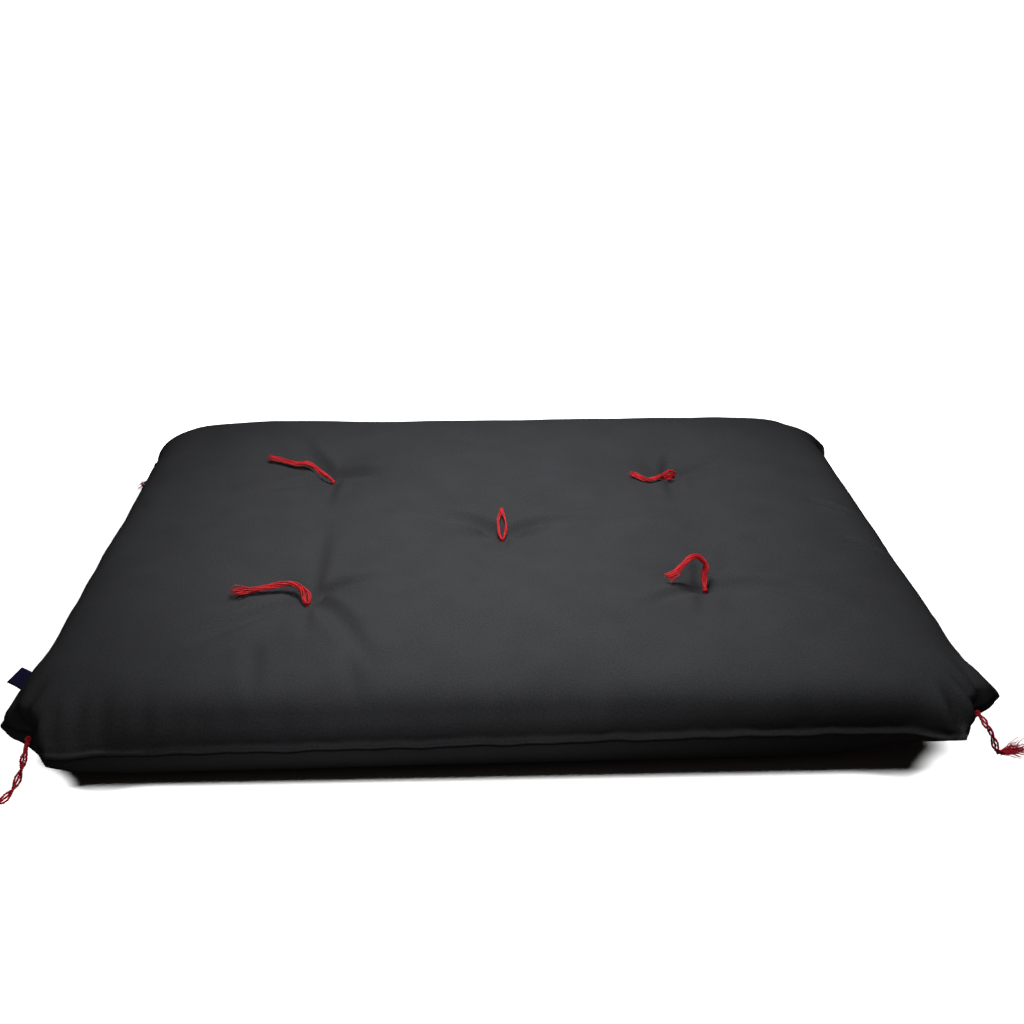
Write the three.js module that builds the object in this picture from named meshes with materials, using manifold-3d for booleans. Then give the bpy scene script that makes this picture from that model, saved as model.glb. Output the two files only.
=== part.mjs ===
// A rectangular meditation mat: a cotton cover filled with wadding, tied down by five tufts of red thread,
// with a loose braided tassel at each corner and a small folded label in the left seam.
// Millimetres, +Z up. The origin is the middle of the flat underside, +X runs along the long sides,
// and the front is at -Y.

import * as THREE from 'three';
import { mergeVertices } from 'three/addons/utils/BufferGeometryUtils.js';
import Module from 'manifold-3d';

const wasm = await Module();
wasm.setup();

// Driving dimensions of the mat
const LENGTH = 900;             // from end to end, over the ears
const DEPTH = 700;              // from front to back, over the ears
const HALF_LENGTH = LENGTH / 2;
const HALF_DEPTH = DEPTH / 2;
const SEAM_HEIGHT = 37;         // seam above the floor, halfway along the long sides
const SEAM_LEAN = 5.5;          // the seam is this much higher at the right end, and lower at the left
const CROWN_RISE = 57;          // top of the filling above the seam
const CROWN_LEAN = 2.5;         // the filling is this much fuller towards the back left
const CORNER_ROUNDING = 0.5;    // how far the crown gives way in a corner, 0 for a square one
const PULL_FULL_AT = 0.83;      // share of the rise from which the tufts pull in full

// How far the seam is drawn in between the corners
const DRAW_IN = { left: 16, right: 24, long: 11 };
const DRAW_IN_START = 50;       // from the corner, where the ears are
const DRAW_IN_REACH = 45;
const DRAW_IN_FADE = 80;
const PROFILE_REACH = 110;      // from the corner, where the side stands up fully

// The corner pushed in between its two ears
const TUCK = { x: 33, y: 32 };
const TUCK_REACH = 52;
const TUCK_POWER = 1.25;
const MOUTH_DEPTH = 6;
const MOUTH_WIDTH = 4;
const LONG_EAR = { from_corner: 50, out: 2, lift: { left: 4, right: 0 } };
const SHORT_EAR = { from_corner: 54, out: { left: 6, right: 2 }, lift: { left: 4, right: 11 } };
const EAR_SPREAD = 26;
const CORNER_LIFT = { height: 7, spread: 25 };  // of the seam, at the corner itself
const CORNER_OFF_FLOOR = 197;   // the underside leaves the floor this far from a corner

// Across an edge of the top: along the cloth from the seam, inwards, and the share of the rise reached
const TOP_PROFILE = [
  { along: 0, inset: 0, share: 0 },
  { along: 3, inset: 4, share: 0.045 },
  { along: 6, inset: 0.5, share: 0.15 },
  { along: 12, inset: 0, share: 0.32 },
  { along: 20, inset: 4, share: 0.53 },
  { along: 32, inset: 14, share: 0.73 },
  { along: 48, inset: 30, share: 0.86 },
  { along: 70, inset: 55, share: 0.93 },
  { along: 110, inset: 100, share: 0.975 },
  { along: 160, inset: 158, share: 1 },
  { along: 450, inset: 450, share: 1 },
];

// The same across an edge of the underside, where a share of 1 is flat on the floor
const UNDER_PROFILE = [
  { along: 0, inset: 0, share: 0 },
  { along: 4, inset: 3.5, share: 0.08 },
  { along: 14, inset: 3, share: 0.34 },
  { along: 28, inset: 9, share: 0.64 },
  { along: 60, inset: 38, share: 1 },
  { along: 140, inset: 125, share: 1 },
  { along: 450, inset: 450, share: 1 },
];

// Tufts, and the dimple that each pulls into the crown
const TUFT_ROOTS = {
  front_left: { x: -198, y: -133 },
  front_right: { x: 209, y: -126 },
  centre: { x: 4, y: 2 },
  back_left: { x: -201, y: 160 },
  back_right: { x: 214, y: 153 },
};
const DISH = { depth: 12, spread: 75 };
const FUNNEL = { depth: 12, spread: 24, power: 1.5 };
const VALLEYS = [
  { from: 'front_left', to: 'back_left', depth: 4 },
  { from: 'front_right', to: 'back_right', depth: 3 },
  { from: 'front_left', to: 'centre', depth: 3 },
  { from: 'centre', to: 'front_right', depth: 3 },
  { from: 'centre', to: 'back_left', depth: 4 },
  { from: 'centre', to: 'back_right', depth: 4 },
];
const VALLEY_WIDTH = 34;

// Grid of the top: lines across each edge, round each tuft, and evenly between
const EDGE_LINES = [0, 3, 6, 12, 20, 32, 48, 70, 100, 130];
const TUFT_LINES = [-24, -9, 0, 9, 24];
const TUFT_COLUMNS = [-200, 4, 211];
const TUFT_ROWS = [-130, 2, 157];
const TUFT_SHIFT_REACH = 50;    // grid points within this of a tuft shift, so that one lies at its root
const GRID_STEP = 36;
const NEAR_LINES = 8;           // lines closer than this are one line
const UNDER_RINGS = [0, 4, 14, 28, 60, 140];

// Threads
const THREAD = { radius: 0.8, sides: 3 };
const SAME_POINT = 1e-4;        // corners closer than this are one corner of a solid
const KNOT_RADIUS = 4;
const FLOOR_GAP = 0.4;          // under a thread that lies on the floor
const CORNER_SEAT = 1;          // under a corner knot, whose sides meet the seam first
const FUNNEL_SEAT = 1;          // under a tuft's knot, whose sides touch the funnel first

// Routes of the tufts: places on the cloth, each with the bundle's height above it
const TUFT_ROUTES = {
  front_left: [
    { x: -200, y: -127, lift: 8 }, { x: -207, y: -123, lift: 10 }, { x: -215, y: -124, lift: 10.5 },
    { x: -224, y: -130, lift: 9 }, { x: -234, y: -138, lift: 6.5 }, { x: -247, y: -146, lift: 5.5 },
    { x: -256, y: -152, lift: 5.5 }, { x: -266, y: -160, lift: 5.5 },
  ],
  front_right: [
    { x: 209, y: -121, lift: 8.5 }, { x: 209, y: -116, lift: 13 }, { x: 211, y: -112, lift: 19 },
    { x: 208, y: -111, lift: 26 }, { x: 201, y: -111, lift: 28 }, { x: 193, y: -116, lift: 26 },
    { x: 185, y: -123, lift: 20 }, { x: 177, y: -131, lift: 12 }, { x: 167, y: -140, lift: 6 },
  ],
  back_left: [
    { x: -205, y: 161, lift: 8.5 }, { x: -210, y: 161, lift: 10 }, { x: -219, y: 163, lift: 10 },
    { x: -231, y: 162, lift: 8 }, { x: -243, y: 162, lift: 6 }, { x: -255, y: 164, lift: 5.5 },
    { x: -267, y: 167, lift: 5.5 }, { x: -278, y: 169, lift: 5.5 },
  ],
  back_right: [
    { x: 214, y: 147, lift: 8.5 }, { x: 211, y: 139, lift: 11 }, { x: 204, y: 129, lift: 10.5 },
    { x: 194, y: 120, lift: 9.5 }, { x: 183, y: 117, lift: 8 }, { x: 172, y: 121, lift: 6 },
    { x: 162, y: 126, lift: 5.5 },
  ],
};
const BUNDLE = { threads: 8, width: 3.6, height: 2.4, twist: 1.2, root: 0.62, fan: 1.45, steps: 8 };
const THREAD_ENDS = { mean: 0.9, spread: 0.1, turn: 2.4 };  // how much of the last stretch each thread has

// The centre tuft is an open loop: two bundles that part at the root and meet again at its end
const CENTRE_LOOP = {
  threads: 4, width: 1.7, height: 1.7, twist: 2.4, root: 0.8, fan: 1.3, steps: 8,
  half_gap: 6.5, closed_beyond: 1.5, fullness: 0.7,
  route: [
    { y: 5, lift: 7.5 }, { y: 13, lift: 8 }, { y: 24, lift: 6.5 }, { y: 36, lift: 5.5 },
    { y: 48, lift: 4.5 }, { y: 60, lift: 4.5 }, { y: 70, lift: 4.5 },
  ],
};

// Corner tassels: a loose braid that falls from the corner and lies on the floor, then a frayed end
const BRAID = {
  plaits: 3, width: 3.6, height: 2, plait_radius: 1.1, sides: 3, pitch: 28, steps_per_pitch: 6,
  root_width: 0.45, opens_over: 0.2,
};
const FRAY = {
  threads: 2, length: 20, spread: 3.4, start_inside: 1, start_gap: 1.2, steps: 3, mean: 0.8, uneven: 0.2,
};
const TASSEL_CORNERS = {
  front_left: { x: -1, y: -1 },
  front_right: { x: 1, y: -1 },
  back_left: { x: -1, y: 1 },
  back_right: { x: 1, y: 1 },
};
const TASSEL_ROUTES = {
  front_left: [
    [-422, -333, 29], [-424, -338, 20], [-427, -343, 12], [-430, -349, 6.5],
    [-434, -357, 4], [-440, -369, 3.5], [-446, -383, 3.5], [-451, -398, 3.5],
  ],
  front_right: [
    [429, -327, 40], [435, -328, 31], [439, -326, 22], [443, -324, 13], [447, -321, 7],
    [453, -318, 4], [460, -316, 3.5], [468, -315, 3.5], [476, -313, 3.5],
  ],
  back_left: [
    [-430, 330, 32], [-440, 332, 24], [-449, 329, 15], [-457, 323, 8.5],
    [-463, 316, 4.5], [-467, 311, 3.5],
  ],
  back_right: [
    [425, 334, 35], [427, 342, 25], [429, 350, 15], [430, 358, 8.5],
    [431, 366, 4.8], [432, 376, 3.5], [431, 388, 3.5],
  ],
};

// Label: a folded tape whose ends are in the left seam, leaning up from it
const LABEL = { length: 27, proud: 33, thickness: 1.2, tilt_deg: 34, y: -236, bow: 1.5, seam_gap: 0.7 };

const COLOURS = { cloth: 0x1f2022, tuft: 0xc02330, tassel: 0x8f1c26, label: 0x1b1b3a };

function material(colour, roughness) {
  return new THREE.MeshStandardMaterial({ color: colour, roughness, metalness: 0 });
}

// A value of a table at a place, straight between its rows
function readTable(table, key, value, at) {
  for (let i = 1; i < table.length; i += 1) {
    const low = table[i - 1];
    const high = table[i];
    if (at <= high[key]) {
      const t = (at - low[key]) / (high[key] - low[key]);
      return low[value] + t * (high[value] - low[value]);
    }
  }
  return table[table.length - 1][value];
}

function smooth(t) {
  return THREE.MathUtils.smoothstep(t, 0, 1);
}

// Which end of the mat a place is at
function endOf(u) {
  return u > 0 ? 'right' : 'left';
}

function bell(distance, spread) {
  return Math.exp(-((distance / spread) ** 2));
}

// Distance from a point to the stretch between two tufts
function distanceToLine(x, y, from, to) {
  const dx = to.x - from.x;
  const dy = to.y - from.y;
  const along = ((x - from.x) * dx + (y - from.y) * dy) / (dx * dx + dy * dy);
  const t = THREE.MathUtils.clamp(along, 0, 1);
  return Math.hypot(x - from.x - t * dx, y - from.y - t * dy);
}

// How far the tufts and the valleys between them pull the crown down
function pulledDown(x, y) {
  let depth = 0;
  for (const root of Object.values(TUFT_ROOTS)) {
    const r = Math.hypot(x - root.x, y - root.y);
    depth += DISH.depth * bell(r, DISH.spread);
    depth += FUNNEL.depth * Math.exp(-((r / FUNNEL.spread) ** FUNNEL.power));
  }
  for (const valley of VALLEYS) {
    const r = distanceToLine(x, y, TUFT_ROOTS[valley.from], TUFT_ROOTS[valley.to]);
    depth += valley.depth * bell(r, VALLEY_WIDTH);
  }
  return depth;
}

// Where a point of the flat cut cloth ends up in plan, on either face of the mat
function inPlan(u, v, profile) {
  const p = HALF_LENGTH - Math.abs(u);
  const q = HALF_DEPTH - Math.abs(v);
  const fromCorner = Math.hypot(p, q);
  const standsShort = smooth(q / PROFILE_REACH);
  const standsLong = smooth(p / PROFILE_REACH);
  const drawShort = smooth((q - DRAW_IN_START) / DRAW_IN_REACH) * DRAW_IN[endOf(u)];
  const drawLong = smooth((p - DRAW_IN_START) / DRAW_IN_REACH) * DRAW_IN.long;
  const tuck = Math.max(1 - fromCorner / TUCK_REACH, 0) ** TUCK_POWER;
  const towardsEar = Math.sin(Math.PI * THREE.MathUtils.clamp(fromCorner / TUCK_REACH, 0, 1));
  const mouth = MOUTH_DEPTH * towardsEar * bell(Math.min(p, q), MOUTH_WIDTH);
  const shortEar = SHORT_EAR.out[endOf(u)] * bell(Math.hypot(q - SHORT_EAR.from_corner, p), EAR_SPREAD);
  const longEar = LONG_EAR.out * bell(Math.hypot(p - LONG_EAR.from_corner, q), EAR_SPREAD);
  const insetX = THREE.MathUtils.lerp(p, readTable(profile, 'along', 'inset', p), standsShort)
    + drawShort * Math.exp(-p / DRAW_IN_FADE) + tuck * TUCK.x + mouth - shortEar;
  const insetY = THREE.MathUtils.lerp(q, readTable(profile, 'along', 'inset', q), standsLong)
    + drawLong * Math.exp(-q / DRAW_IN_FADE) + tuck * TUCK.y + mouth - longEar;
  return {
    x: Math.sign(u) * (HALF_LENGTH - insetX),
    y: Math.sign(v) * (HALF_DEPTH - insetY),
    shareX: readTable(profile, 'along', 'share', p),
    shareY: readTable(profile, 'along', 'share', q),
    p,
    q,
    fromCorner,
  };
}

// Height of the seam, which rises in the corners and at the ears
function seamHeight(u, p, q, fromCorner) {
  const longEar = LONG_EAR.lift[endOf(u)] * bell(Math.hypot(p - LONG_EAR.from_corner, q), EAR_SPREAD);
  const shortEar = SHORT_EAR.lift[endOf(u)] * bell(Math.hypot(q - SHORT_EAR.from_corner, p), EAR_SPREAD);
  const corner = CORNER_LIFT.height * bell(fromCorner, CORNER_LIFT.spread);
  return SEAM_HEIGHT + SEAM_LEAN * (u / HALF_LENGTH) + longEar + shortEar + corner;
}

function topPoint(u, v) {
  const place = inPlan(u, v, TOP_PROFILE);
  const low = Math.min(place.shareX, place.shareY);
  const high = Math.max(place.shareX, place.shareY);
  const share = low * high ** CORNER_ROUNDING;
  const rise = CROWN_RISE + CROWN_LEAN * (v / HALF_DEPTH - u / HALF_LENGTH);
  const pull = pulledDown(place.x, place.y) * smooth(share / PULL_FULL_AT);
  const seam = seamHeight(u, place.p, place.q, place.fromCorner);
  return new THREE.Vector3(place.x, place.y, seam + rise * share - pull);
}

function underPoint(u, v) {
  const place = inPlan(u, v, UNDER_PROFILE);
  const offFloor = smooth(1 - place.fromCorner / CORNER_OFF_FLOOR);
  const share = Math.min(place.shareX, place.shareY) * (1 - offFloor);
  const seam = seamHeight(u, place.p, place.q, place.fromCorner);
  return new THREE.Vector3(place.x, place.y, seam * (1 - share));
}

// Height of the top above a place well inside the edges, where the cloth lies straight over its plan
function topHeight(x, y) {
  return topPoint(x, y).z;
}

// Grid lines over one direction, from one edge to the other
function gridLines(half, tufts) {
  const fixed = [];
  for (const distance of EDGE_LINES) fixed.push(-half + distance, half - distance);
  for (const tuft of tufts) {
    for (const offset of TUFT_LINES) fixed.push(tuft + offset);
  }
  fixed.sort((a, b) => a - b);
  const edge = half - EDGE_LINES[EDGE_LINES.length - 1];
  const kept = fixed.filter((value, i) => {
    const nearEdge = Math.abs(value) >= edge;
    return nearEdge || i === 0 || value - fixed[i - 1] >= NEAR_LINES;
  });
  const lines = [kept[0]];
  for (let i = 1; i < kept.length; i += 1) {
    const gap = kept[i] - kept[i - 1];
    const parts = Math.ceil(gap / GRID_STEP);
    for (let part = 1; part <= parts; part += 1) lines.push(kept[i - 1] + (gap * part) / parts);
  }
  return lines;
}

function nearest(values, target) {
  return values.reduce((best, value) => (Math.abs(value - target) < Math.abs(best - target) ? value : best));
}

// A grid point, shifted a little near a tuft so that one of them is the root itself
function gridPoint(u, v) {
  let shiftedU = u;
  let shiftedV = v;
  for (const root of Object.values(TUFT_ROOTS)) {
    const column = nearest(TUFT_COLUMNS, root.x);
    const row = nearest(TUFT_ROWS, root.y);
    const pull = bell(Math.hypot(u - column, v - row), TUFT_SHIFT_REACH);
    shiftedU += (root.x - column) * pull;
    shiftedV += (root.y - row) * pull;
  }
  return topPoint(shiftedU, shiftedV);
}

function geometryFrom(points, triangles) {
  const geometry = new THREE.BufferGeometry();
  const numbers = points.flatMap((point) => [point.x, point.y, point.z]);
  geometry.setAttribute('position', new THREE.Float32BufferAttribute(numbers, 3));
  geometry.setIndex(triangles);
  geometry.computeVertexNormals();
  return geometry;
}

function matGeometry() {
  const columns = gridLines(HALF_LENGTH, TUFT_COLUMNS);
  const rows = gridLines(HALF_DEPTH, TUFT_ROWS);
  const points = [];
  const triangles = [];
  for (const v of rows) {
    for (const u of columns) points.push(gridPoint(u, v));
  }
  const at = (i, j) => j * columns.length + i;
  const addQuad = (a, b, c, d) => triangles.push(a, b, c, a, c, d);
  for (let j = 0; j < rows.length - 1; j += 1) {
    for (let i = 0; i < columns.length - 1; i += 1) {
      addQuad(at(i, j), at(i + 1, j), at(i + 1, j + 1), at(i, j + 1));
    }
  }

  // The seam, anticlockwise from the front left corner
  const rim = [];
  for (let i = 0; i < columns.length - 1; i += 1) rim.push({ index: at(i, 0), u: columns[i], v: rows[0] });
  for (let j = 0; j < rows.length - 1; j += 1) {
    rim.push({ index: at(columns.length - 1, j), u: columns[columns.length - 1], v: rows[j] });
  }
  for (let i = columns.length - 1; i > 0; i -= 1) {
    rim.push({ index: at(i, rows.length - 1), u: columns[i], v: rows[rows.length - 1] });
  }
  for (let j = rows.length - 1; j > 0; j -= 1) rim.push({ index: at(0, j), u: columns[0], v: rows[j] });

  // The underside: rings from the seam inwards, then one flat face
  let outer = rim.map((place) => place.index);
  for (const distance of UNDER_RINGS.slice(1)) {
    const inner = rim.map((place) => {
      const u = place.u * (1 - distance / HALF_LENGTH);
      const v = place.v * (1 - distance / HALF_DEPTH);
      points.push(underPoint(u, v));
      return points.length - 1;
    });
    for (let k = 0; k < rim.length; k += 1) {
      const next = (k + 1) % rim.length;
      addQuad(outer[next], outer[k], inner[k], inner[next]);
    }
    outer = inner;
  }
  const outline = outer.map((index) => new THREE.Vector2(points[index].x, points[index].y));
  for (const [a, b, c] of THREE.ShapeUtils.triangulateShape(outline, [])) {
    triangles.push(outer[a], outer[c], outer[b]);
  }
  return geometryFrom(points, triangles);
}

// A closed mesh as a solid that can be joined to others
function solidOf(geometry) {
  const bare = geometry.clone();
  bare.deleteAttribute('normal');
  bare.deleteAttribute('uv');
  const merged = mergeVertices(bare, SAME_POINT);
  return new wasm.Manifold(new wasm.Mesh({
    numProp: 3,
    vertProperties: new Float32Array(merged.attributes.position.array),
    triVerts: new Uint32Array(merged.index.array),
  }));
}

function joined(geometries) {
  let solid = solidOf(geometries[0]);
  for (const geometry of geometries.slice(1)) solid = solid.add(solidOf(geometry));
  const mesh = solid.getMesh();
  const result = new THREE.BufferGeometry();
  result.setAttribute('position', new THREE.Float32BufferAttribute(mesh.vertProperties, 3));
  result.setIndex([...mesh.triVerts]);
  result.computeVertexNormals();
  return result;
}

// A round section of few sides, swept along a line of points
function sweep(points, radius, sides, steps) {
  const section = new THREE.Shape();
  for (let k = 0; k < sides; k += 1) {
    const angle = (2 * Math.PI * k) / sides;
    const x = radius * Math.cos(angle);
    const y = radius * Math.sin(angle);
    if (k === 0) section.moveTo(x, y);
    else section.lineTo(x, y);
  }
  section.closePath();
  const path = new THREE.CatmullRomCurve3(points, false, 'centripetal');
  return new THREE.ExtrudeGeometry(section, { steps, extrudePath: path, bevelEnabled: false });
}

// Directions across a route at each of its points: one level and one square to it
function acrossRoute(route) {
  return route.map((point, i) => {
    const before = route[Math.max(i - 1, 0)];
    const after = route[Math.min(i + 1, route.length - 1)];
    const along = after.clone().sub(before).normalize();
    const side = new THREE.Vector3(-along.y, along.x, 0).normalize();
    const up = along.clone().cross(side).normalize();
    return { side, up };
  });
}

// Threads of a bundle, side by side round its route, closer at the root and fanned at the end
function bundleThreads(route, bundle) {
  const across = acrossRoute(route);
  const last = route.length - 1;
  const threads = [];
  for (let k = 0; k < bundle.threads; k += 1) {
    const reach = THREAD_ENDS.mean + THREAD_ENDS.spread * Math.cos(THREAD_ENDS.turn * k);
    const points = route.map((point, i) => {
      const t = i / last;
      const angle = (2 * Math.PI * k) / bundle.threads + bundle.twist * t;
      const wide = t < 0.5
        ? THREE.MathUtils.lerp(bundle.root, 1, t * 2)
        : THREE.MathUtils.lerp(1, bundle.fan, (t * 2 - 1) ** 2);
      return point.clone()
        .addScaledVector(across[i].side, Math.cos(angle) * bundle.width * wide)
        .addScaledVector(across[i].up, Math.sin(angle) * bundle.height * Math.min(wide, 1));
    });
    points[last].lerp(points[last - 1], 1 - reach);
    threads.push(sweep(points, THREAD.radius, THREAD.sides, bundle.steps));
  }
  return threads;
}

function knot(centre, radius) {
  const ball = new THREE.IcosahedronGeometry(radius, 1);
  ball.translate(centre.x, centre.y, centre.z);
  return ball;
}

function onCloth(place) {
  return new THREE.Vector3(place.x, place.y, topHeight(place.x, place.y) + place.lift);
}

// The knot sits in the funnel, just clear of the cloth
function tuftKnot(root) {
  return new THREE.Vector3(root.x, root.y, topHeight(root.x, root.y) + KNOT_RADIUS + FUNNEL_SEAT);
}

function tuftGeometry(name) {
  const centre = tuftKnot(TUFT_ROOTS[name]);
  const route = [centre, ...TUFT_ROUTES[name].map(onCloth)];
  return joined([knot(centre, KNOT_RADIUS), ...bundleThreads(route, BUNDLE)]);
}

function centreTuftGeometry() {
  const root = TUFT_ROOTS.centre;
  const centre = tuftKnot(root);
  const pieces = [knot(centre, KNOT_RADIUS)];
  const stretches = CENTRE_LOOP.route.length + CENTRE_LOOP.closed_beyond;
  for (const side of [-1, 1]) {
    const route = CENTRE_LOOP.route.map((place, i) => {
      const open = Math.sin((Math.PI * (i + 1)) / stretches) ** CENTRE_LOOP.fullness;
      const x = root.x + side * CENTRE_LOOP.half_gap * open;
      return onCloth({ x, y: root.y + place.y, lift: place.lift });
    });
    pieces.push(...bundleThreads([centre.clone().setX(root.x + side), ...route], CENTRE_LOOP));
  }
  return joined(pieces);
}

// The knot of a tassel sits outside the pushed-in corner of the seam, just clear of it
function tasselKnot(name) {
  const corner = TASSEL_CORNERS[name];
  const outwards = new THREE.Vector3(corner.x, corner.y, 0).normalize();
  const seam = topPoint(corner.x * HALF_LENGTH, corner.y * HALF_DEPTH);
  return seam.addScaledVector(outwards, KNOT_RADIUS + CORNER_SEAT);
}

// A loose braid along its route, with a knot at its root and frayed threads at its end
function tasselGeometry(name) {
  const route = TASSEL_ROUTES[name].map((place) => new THREE.Vector3(...place));
  const path = new THREE.CatmullRomCurve3([tasselKnot(name), ...route]);
  const length = path.getLength();
  const steps = Math.round((length / BRAID.pitch) * BRAID.steps_per_pitch);
  const spine = path.getSpacedPoints(steps);
  const across = acrossRoute(spine);
  const pieces = [knot(spine[0], KNOT_RADIUS)];
  for (let k = 0; k < BRAID.plaits; k += 1) {
    const points = spine.map((point, i) => {
      const open = THREE.MathUtils.lerp(BRAID.root_width, 1, smooth(i / steps / BRAID.opens_over));
      const angle = (2 * Math.PI * (i * length)) / (steps * BRAID.pitch) + (2 * Math.PI * k) / BRAID.plaits;
      return point.clone()
        .addScaledVector(across[i].side, Math.sin(angle) * BRAID.width * open)
        .addScaledVector(across[i].up, Math.sin(2 * angle) * BRAID.height);
    });
    pieces.push(sweep(points, BRAID.plait_radius, BRAID.sides, steps));
    pieces.push(...frayedEnd(points, across[steps], k));
  }
  return joined(pieces);
}

// A few threads that fan out, level, from the end of a plait
function frayedEnd(points, across, plait) {
  const end = points[points.length - 1];
  const before = points[points.length - 3];
  const along = end.clone().sub(before).setZ(0).normalize();
  const threads = [];
  for (let k = 0; k < FRAY.threads; k += 1) {
    const offset = k - (FRAY.threads - 1) / 2;
    const lean = (offset + (plait - 1) * FRAY.threads) * FRAY.spread;
    const reach = FRAY.length * (FRAY.mean + FRAY.uneven * Math.cos(3 * k + 2 * plait));
    const fromEnd = (forward, sideways) => end.clone()
      .addScaledVector(along, forward)
      .addScaledVector(across.side, sideways);
    const start = fromEnd(-FRAY.start_inside, offset * FRAY.start_gap);
    const middle = fromEnd(reach / 2, lean / 2);
    const tip = fromEnd(reach, lean);
    middle.z = THREE.MathUtils.lerp(THREAD.radius + FLOOR_GAP, end.z, 0.5);
    tip.z = THREAD.radius + FLOOR_GAP;
    threads.push(sweep([start, middle, tip], THREAD.radius, THREAD.sides, FRAY.steps));
  }
  return threads;
}

// A folded tape, bowed a little, that leans out and up from the seam
function labelGeometry() {
  const section = new THREE.Shape();
  const half = LABEL.thickness / 2;
  section.moveTo(0, -half);
  section.quadraticCurveTo(LABEL.proud / 2, LABEL.bow - half, LABEL.proud, -half);
  section.quadraticCurveTo(LABEL.proud + half, 0, LABEL.proud, half);
  section.quadraticCurveTo(LABEL.proud / 2, LABEL.bow + half, 0, half);
  section.closePath();
  const sweepAlong = { depth: LABEL.length, bevelEnabled: false, curveSegments: 4 };
  const tape = new THREE.ExtrudeGeometry(section, sweepAlong);
  tape.translate(0, 0, -LABEL.length / 2);
  tape.rotateX(Math.PI / 2);
  return tape;
}

function addMesh(group, name, geometry, look) {
  const mesh = new THREE.Mesh(geometry, look);
  mesh.name = name;
  group.add(mesh);
  return mesh;
}

const mat = new THREE.Group();
mat.name = 'meditation_mat';
addMesh(mat, 'mat_body', matGeometry(), material(COLOURS.cloth, 0.95));

const tuftLook = material(COLOURS.tuft, 0.7);
for (const name of Object.keys(TUFT_ROUTES)) addMesh(mat, `tuft_${name}`, tuftGeometry(name), tuftLook);
addMesh(mat, 'tuft_centre', centreTuftGeometry(), tuftLook);

const tasselLook = material(COLOURS.tassel, 0.75);
for (const name of Object.keys(TASSEL_ROUTES)) {
  addMesh(mat, `tassel_${name}`, tasselGeometry(name), tasselLook);
}

const labelSeam = topPoint(-HALF_LENGTH, LABEL.y);
const label = addMesh(mat, 'side_label', labelGeometry(), material(COLOURS.label, 0.85));
label.rotation.set(0, Math.PI + THREE.MathUtils.degToRad(LABEL.tilt_deg), 0);
label.position.set(labelSeam.x - LABEL.seam_gap, LABEL.y, labelSeam.z);

export default mat;
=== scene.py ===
"""A black cotton meditation mat, tied down by red tufts, with corner tassels and a small side label.

Lengths are in millimetres, as in the CAD model, until a mesh is made. The front is at -Y and +Z is up.
"""
import math

import bpy
import numpy as np
from mathutils import Matrix, Vector
from mathutils.bvhtree import BVHTree


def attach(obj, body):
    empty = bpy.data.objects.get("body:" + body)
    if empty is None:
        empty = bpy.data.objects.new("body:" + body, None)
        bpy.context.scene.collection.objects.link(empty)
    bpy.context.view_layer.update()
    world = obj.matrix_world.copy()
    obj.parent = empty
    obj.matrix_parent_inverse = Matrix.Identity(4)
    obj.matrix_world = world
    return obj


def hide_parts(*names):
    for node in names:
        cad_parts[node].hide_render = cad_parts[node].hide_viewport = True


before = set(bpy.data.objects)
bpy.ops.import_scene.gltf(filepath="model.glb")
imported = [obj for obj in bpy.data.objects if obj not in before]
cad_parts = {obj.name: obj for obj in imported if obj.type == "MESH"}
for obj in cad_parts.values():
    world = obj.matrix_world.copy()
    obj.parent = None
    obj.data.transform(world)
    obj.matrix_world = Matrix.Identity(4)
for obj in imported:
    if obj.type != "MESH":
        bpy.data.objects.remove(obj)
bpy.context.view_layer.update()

MM = 0.001

# Camera of the photograph, which is 1024 pixels wide
PHOTO_WIDTH = 1024
FOCAL_PIXELS = 1199.46
SENSOR_WIDTH = 36.0
CAMERA_PLACE = (-30.87, -1198.5, 672.66)
CAMERA_PITCH = 0.4447  # radians down from level
CAMERA_YAW = 0.0379  # radians towards +X
CAMERA_ROLL = 0.0057

# Driving dimensions of the mat. Its size, seam and crown are as in the CAD model, whose edges are
# plainer.
LENGTH = 900.0
DEPTH = 700.0
HALF_LENGTH = LENGTH / 2
HALF_DEPTH = DEPTH / 2
SEAM_HEIGHT = 37.0
SEAM_LEAN = 5.5  # the seam is this much higher at the right end, and lower at the left
SEAM_BOW = 2.2  # and this much higher to the right of the middle, at the front
SEAM_BOW_AT = 190.0
SEAM_BOW_SPREAD = 190.0
CROWN_RISE = 57.0
CROWN_LEAN = 2.5  # the filling is this much fuller towards the back left
BACK_LIFT = 4.0  # the crown is this much fuller at the back
BACK_LEFT_LIFT = 4.0  # and this much again at the back left
BACK_LEFT_AT = (-300.0, 290.0)
BACK_LEFT_SPREAD = 130.0
CORNER_ROUNDING = {"left": 0.6, "right": 0.8}
BACK_ROUNDING = {"left": 0.7, "right": 1.1}  # this much more at the back corners
PULL_FULL_AT = 0.83
DRAW_IN = {"left": 11.5, "right": 21.5}
DRAW_IN_LONG = 11.0
DRAW_IN_START = 52.0
DRAW_IN_REACH = {"short": 85.0, "long": 55.0}
DRAW_IN_FADE = 80.0
STAND_FROM = {"left": 0.0, "right": 40.0}  # from a corner, where a short side begins to stand upright
STAND_REACH = 110.0
FRONT_LEFT_STAND_REACH = 240.0
SHOULDER_EASE = 5.0  # the front's shoulder lies this much further in, except at the right end
SHOULDER_EASE_AT = (8.0, 22.0, 90.0)  # from the seam: where it begins, is full and ends
SHOULDER_EASE_TO = (-50.0, 330.0)
TIP_FULLNESS = 0.03  # the ears' tips are rounded, where the rest of the seam has a thin edge
TIP_FADE = 4.0
TUCK = {"x": 33.0, "y": 32.0}
TUCK_REACH = {"left": 52.0, "right": 49.0}
TUCK_POWER = 1.25
MOUTH_DEPTH = 6.0
MOUTH_WIDTH = 4.0
LONG_EAR_FROM_CORNER = 50.0
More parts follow.
